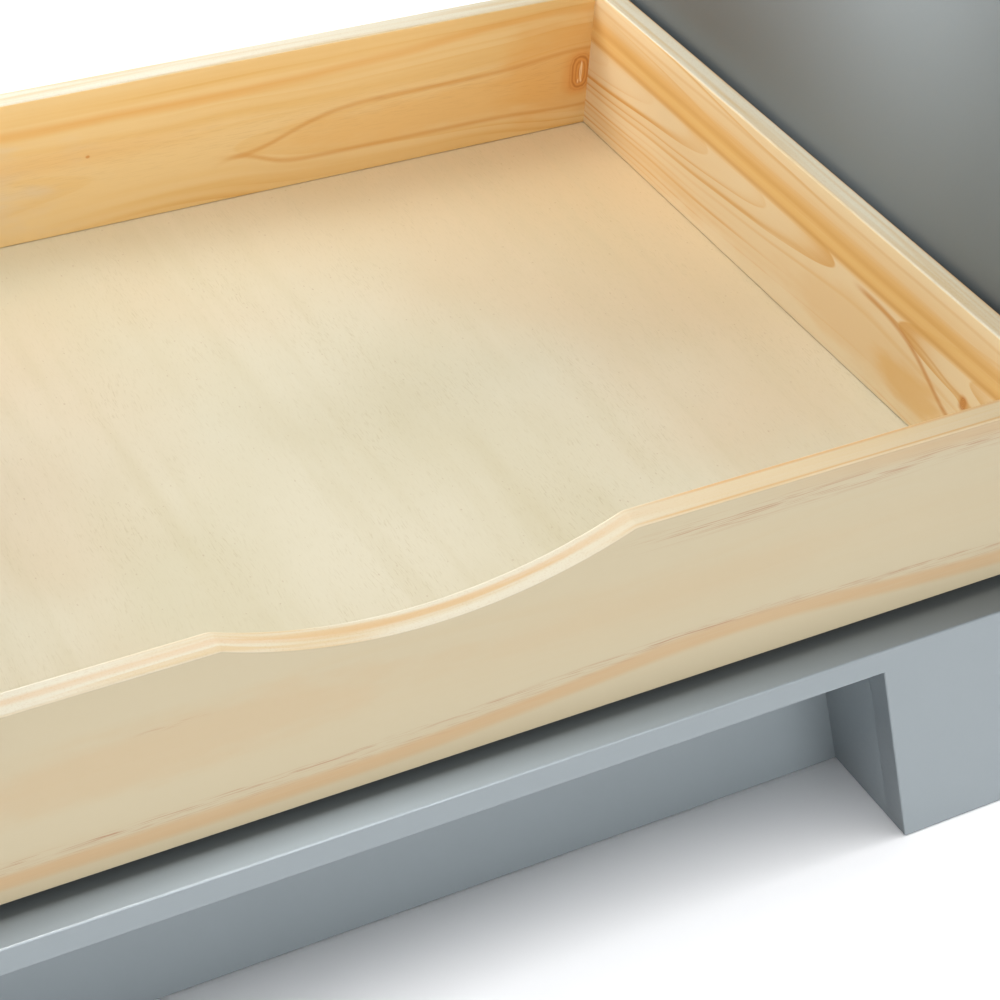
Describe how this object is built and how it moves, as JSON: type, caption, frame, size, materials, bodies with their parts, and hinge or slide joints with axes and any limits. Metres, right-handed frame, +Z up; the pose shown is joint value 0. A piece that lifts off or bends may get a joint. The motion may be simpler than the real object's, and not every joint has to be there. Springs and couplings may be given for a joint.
{
  "type": "changing table",
  "caption": "Open changing table of painted boards: a changing deck between four lips, a shelf under it, and a wide pine drawer with a scooped front over bracket feet.",
  "frame": {"origin": "on the floor, in the middle of the table's outline", "axes": "+Z up, +X to the table's right as seen from the front, +Y to its back; the drawer opens along -Y"},
  "size_m": [0.76, 0.512, 0.92],
  "materials": {
    "grey_paint": "satin grey paint on board",
    "pine": "clear satin lacquer",
    "plywood": "bare, lightly sealed",
    "beech": "bare, sanded",
    "zinc_steel": "zinc plated"
  },
  "bodies": {
    "carcass": {"side_panel_left": "grey_paint", "side_panel_right": "grey_paint", "bottom_shelf": "grey_paint", "upper_shelf": "grey_paint", "changing_deck": "grey_paint", "rear_apron": "grey_paint", "shelf_back_rail": "grey_paint", "front_lip": "grey_paint", "back_lip": "grey_paint", "front_plinth": "grey_paint", "recessed_plinth": "grey_paint", "foot_return_left": "grey_paint", "foot_return_right": "grey_paint", "bottom_shelf_screw_left_1": "zinc_steel", "bottom_shelf_screw_left_2": "zinc_steel", "bottom_shelf_screw_right_1": "zinc_steel", "bottom_shelf_screw_right_2": "zinc_steel", "upper_shelf_screw_left_1": "zinc_steel", "upper_shelf_screw_left_2": "zinc_steel", "upper_shelf_screw_right_1": "zinc_steel", "upper_shelf_screw_right_2": "zinc_steel", "changing_deck_screw_left_1": "zinc_steel", "changing_deck_screw_left_2": "zinc_steel", "changing_deck_screw_right_1": "zinc_steel", "changing_deck_screw_right_2": "zinc_steel", "rear_apron_screw_left": "zinc_steel", "rear_apron_screw_right": "zinc_steel", "shelf_back_rail_screw_left": "zinc_steel", "shelf_back_rail_screw_right": "zinc_steel", "front_lip_screw_left": "zinc_steel", "front_lip_screw_right": "zinc_steel", "back_lip_screw_left": "zinc_steel", "back_lip_screw_right": "zinc_steel", "runner_left": "beech", "runner_right": "beech", "runner_screw_left_1": "zinc_steel", "runner_screw_left_2": "zinc_steel", "runner_screw_left_3": "zinc_steel", "runner_screw_right_1": "zinc_steel", "runner_screw_right_2": "zinc_steel", "runner_screw_right_3": "zinc_steel"},
    "drawer": {"drawer_front": "pine", "drawer_back": "pine", "drawer_side_left": "pine", "drawer_side_right": "pine", "drawer_batten": "pine", "drawer_bottom": "plywood", "drawer_dowel_front_left_lower": "beech", "drawer_dowel_front_left_upper": "beech", "drawer_dowel_front_right_lower": "beech", "drawer_dowel_front_right_upper": "beech", "drawer_dowel_back_left_lower": "beech", "drawer_dowel_back_left_upper": "beech", "drawer_dowel_back_right_lower": "beech", "drawer_dowel_back_right_upper": "beech"}
  },
  "joints": [
    {"name": "drawer_slide", "type": "slide", "parent": "carcass", "child": "drawer", "axis": [0, -1, 0], "range_m": [0, 0.35]}
  ]
}
